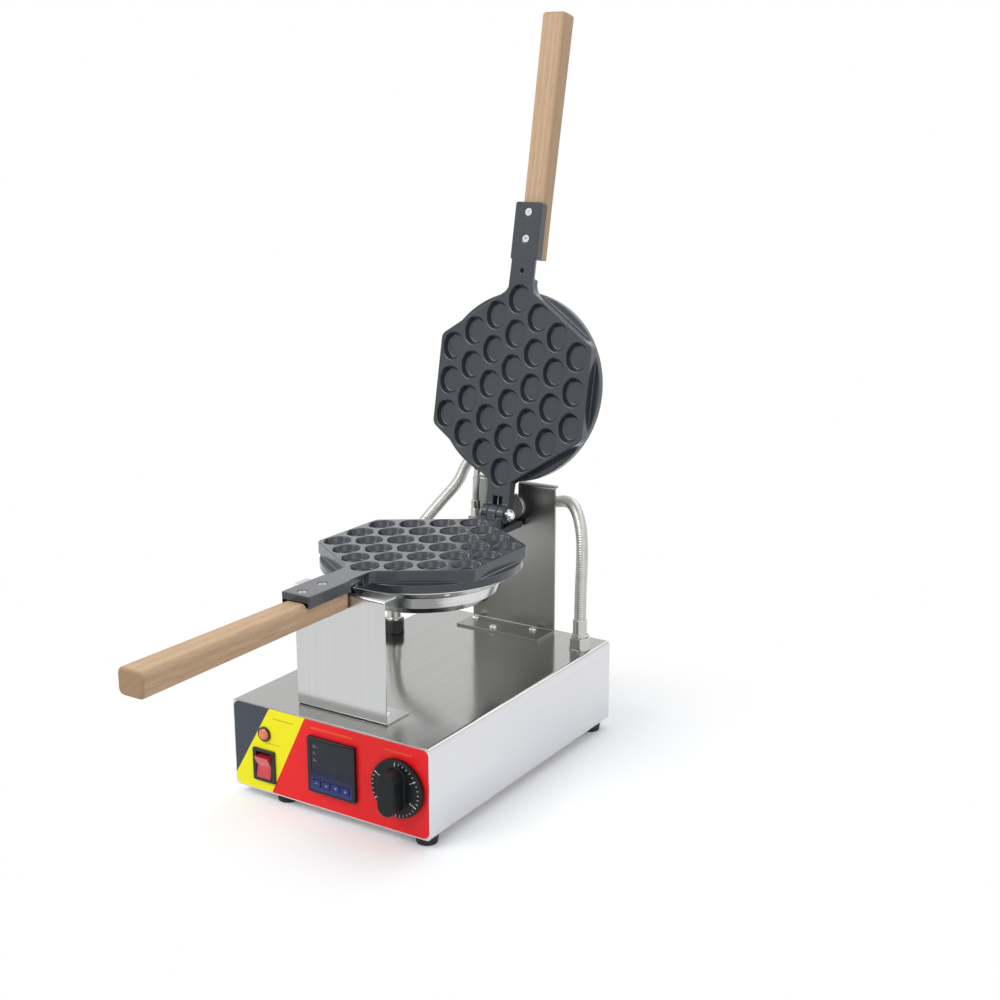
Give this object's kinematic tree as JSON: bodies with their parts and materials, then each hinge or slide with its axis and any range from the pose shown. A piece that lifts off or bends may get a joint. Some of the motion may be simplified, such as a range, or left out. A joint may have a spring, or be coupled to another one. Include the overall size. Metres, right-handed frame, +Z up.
{
  "type": "egg waffle pan",
  "caption": "Benchtop electric egg waffle pan: stainless housing with controls, rolling cast cell moulds on a hinge, wooden handles and steel conduits",
  "frame": {"origin": "bottom centre of the bounding box with the lid open, conduits left out", "axes": "+X to the right seen from the control panel, +Y from the panel to the back, +Z up"},
  "size_m": [0.2, 0.57, 0.6452],
  "materials": {
    "stainless": "brushed stainless sheet",
    "polished": "bright spun steel and nuts",
    "coated_cast": "non-stick coating on cast aluminium",
    "wood": "plain beech",
    "panel_print": "printed film in red, yellow and charcoal",
    "black_plastic": "moulded black plastic",
    "red_plastic": "clear-look red rocker and lens",
    "screen_glass": "dark display window",
    "key_plastic": "blue key caps",
    "black_rubber": "soft black rubber",
    "conduit": "grey corrugated metal hose",
    "insulation": "ceramic fibre board",
    "heater_sheath": "oxidised heater sheath",
    "brass": "terminals and probe clip",
    "bakelite": "pale moulded housing"
  },
  "bodies": {
    "root": {"housing_cover": "stainless", "bottom_plate": "stainless", "rubber_feet": "black_rubber", "foot_screws": "polished", "control_panel": "panel_print", "indicator_lens": "red_plastic", "indicator_body": "black_plastic", "switch_frame": "black_plastic", "controller_case": "black_plastic", "controller_screen": "screen_glass", "timer_body": "bakelite", "heater_relay": "bakelite", "terminal_block": "bakelite", "mains_cord_gland": "black_plastic", "front_bracket": "stainless", "front_bracket_screws": "polished", "rear_bracket": "stainless", "rear_bracket_screws": "polished", "gland_bodies": "polished", "gland_locknuts": "polished", "hose_ferrules": "polished", "hose_right": "conduit", "hose_left": "conduit"},
    "head": {"lower_mould": "coated_cast", "lower_heater": "heater_sheath", "lower_insulation": "insulation", "lower_cover": "polished", "lower_cover_stud": "polished", "lower_thermocouple": "brass", "lower_handle": "wood", "lower_handle_screws": "polished", "pivot_hub": "coated_cast", "hub_screws": "polished", "pivot_washers": "polished", "pivot_nut": "polished", "hinge_pin": "polished", "hinge_dome_nut": "polished", "elbow_connector": "polished", "link_connector": "polished", "link_hose": "conduit"},
    "lid": {"upper_mould": "coated_cast", "upper_heater": "heater_sheath", "upper_insulation": "insulation", "upper_cover": "polished", "upper_cover_stud": "polished", "upper_thermocouple": "brass", "upper_handle": "wood", "upper_handle_screws": "polished", "lid_connectors": "polished"},
    "rocker": {"switch_rocker": "red_plastic"},
    "timer_dial": {"timer_knob": "black_plastic"},
    "button_1": {"key_1": "key_plastic"},
    "button_2": {"key_2": "key_plastic"},
    "button_3": {"key_3": "key_plastic"},
    "button_4": {"key_4": "key_plastic"}
  },
  "joints": [
    {"name": "pan_roll", "type": "hinge", "parent": "root", "child": "head", "pos_m": [0, 0.16917, 0.2017], "axis": [0, 1, 0], "range_deg": [-20, 20], "deforming": ["hose_right", "hose_left"]},
    {"name": "lid_hinge", "type": "hinge", "parent": "head", "child": "lid", "pos_m": [0, 0.16917, 0.2017], "axis": [1, 0, 0], "range_deg": [0, 101.5], "deforming": ["link_hose"]},
    {"name": "rocker_tilt", "type": "hinge", "parent": "root", "child": "rocker", "pos_m": [-0.0665, -0.07933, 0.0326], "axis": [1, 0, 0], "range_deg": [-18, 0]},
    {"name": "timer_turn", "type": "hinge", "parent": "root", "child": "timer_dial", "pos_m": [0.0715, -0.08313, 0.0478], "axis": [0, 1, 0], "range_deg": [0, 300]},
    {"name": "button_1_press", "type": "slide", "parent": "root", "child": "button_1", "axis": [0, 1, 0], "range_m": [0, 0.0004], "stiffness_N_per_m": 1500, "springref_m": -0.0002},
    {"name": "button_2_press", "type": "slide", "parent": "root", "child": "button_2", "axis": [0, 1, 0], "range_m": [0, 0.0004], "stiffness_N_per_m": 1500, "springref_m": -0.0002},
    {"name": "button_3_press", "type": "slide", "parent": "root", "child": "button_3", "axis": [0, 1, 0], "range_m": [0, 0.0004], "stiffness_N_per_m": 1500, "springref_m": -0.0002},
    {"name": "button_4_press", "type": "slide", "parent": "root", "child": "button_4", "axis": [0, 1, 0], "range_m": [0, 0.0004], "stiffness_N_per_m": 1500, "springref_m": -0.0002}
  ]
}
